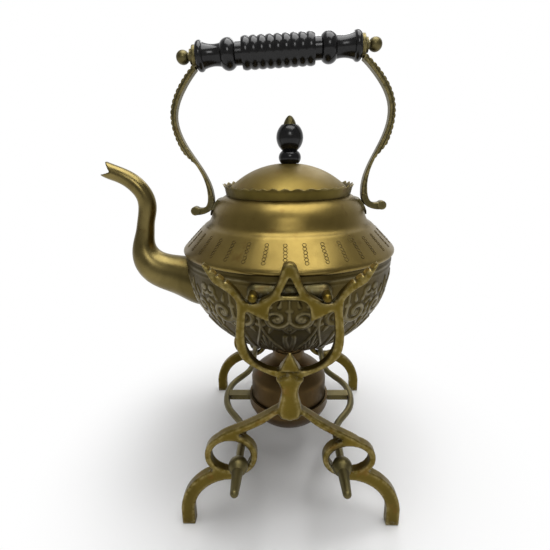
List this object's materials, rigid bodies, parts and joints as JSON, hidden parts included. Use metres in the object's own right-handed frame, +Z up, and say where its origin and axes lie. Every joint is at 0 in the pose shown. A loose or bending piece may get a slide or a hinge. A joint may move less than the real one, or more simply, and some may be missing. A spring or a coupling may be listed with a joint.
{
  "type": "spirit kettle on stand",
  "caption": "Brass kettle with a swan-neck spout and a fixed overhead handle, resting on pegs in an openwork stand over a spirit burner, with a lift-off domed lid.",
  "frame": {"origin": "on the ground, on the kettle's turning axis, midway between the two stand frames", "axes": "+Z up, the spout points along -X, the handle lies in the XZ plane, the stand frames face -Y and +Y"},
  "size_m": [0.214, 0.2234, 0.3203],
  "materials": {
    "polished_brass": "spun brass, softly polished, with a thin golden-olive tarnish",
    "chased_brass": "chased relief with a dark patina in its hollows",
    "cast_brass": "cast and filed, brown-olive patina, edges worn bright",
    "burner_brass": "heat-darkened reddish brown",
    "black_wood": "ebonised turned wood, glossy",
    "cotton": "woven cotton wick"
  },
  "bodies": {
    "stand": {"stand_frame_front": "cast_brass", "stand_frame_rear": "cast_brass", "carrier_bar_left": "cast_brass", "carrier_bar_right": "cast_brass", "carrier_knobs": "cast_brass", "carrier_spokes": "cast_brass", "burner_cup": "burner_brass"},
    "burner": {"burner_font": "burner_brass", "burner_wick_tube": "burner_brass", "burner_wick": "cotton"},
    "kettle_rest": {"rest_pegs_spout_side": "cast_brass"},
    "kettle": {"rest_pegs_handle_side": "cast_brass", "rest_bar_front": "cast_brass", "rest_bar_rear": "cast_brass", "kettle_bowl": "chased_brass", "kettle_shoulder": "polished_brass", "kettle_gallery": "polished_brass", "kettle_spout": "polished_brass", "handle_pad_left": "polished_brass", "handle_pad_right": "polished_brass", "handle_arm_left": "cast_brass", "handle_arm_right": "cast_brass", "handle_tie_rod": "cast_brass", "handle_grip": "black_wood", "handle_finials": "polished_brass"},
    "lid": {"lid_dome": "polished_brass", "lid_plug": "polished_brass", "lid_knob": "black_wood", "lid_knob_cap": "polished_brass", "lid_knob_stud": "cast_brass"}
  },
  "joints": [
    {"name": "kettle_lift", "type": "slide", "parent": "stand", "child": "kettle_rest", "axis": [0, 0, 1], "range_m": [0, 0.04]},
    {"name": "kettle_tilt", "type": "hinge", "parent": "kettle_rest", "child": "kettle", "pos_m": [-0.0214, 0, 0.16415], "axis": [0, -1, 0], "range_deg": [0, 45]},
    {"name": "lid_lift", "type": "slide", "parent": "kettle", "child": "lid", "axis": [0, 0, 1], "range_m": [0, 0.025]},
    {"name": "burner_lift", "type": "slide", "parent": "stand", "child": "burner", "axis": [0, 0, 1], "range_m": [0, 0.006]}
  ]
}
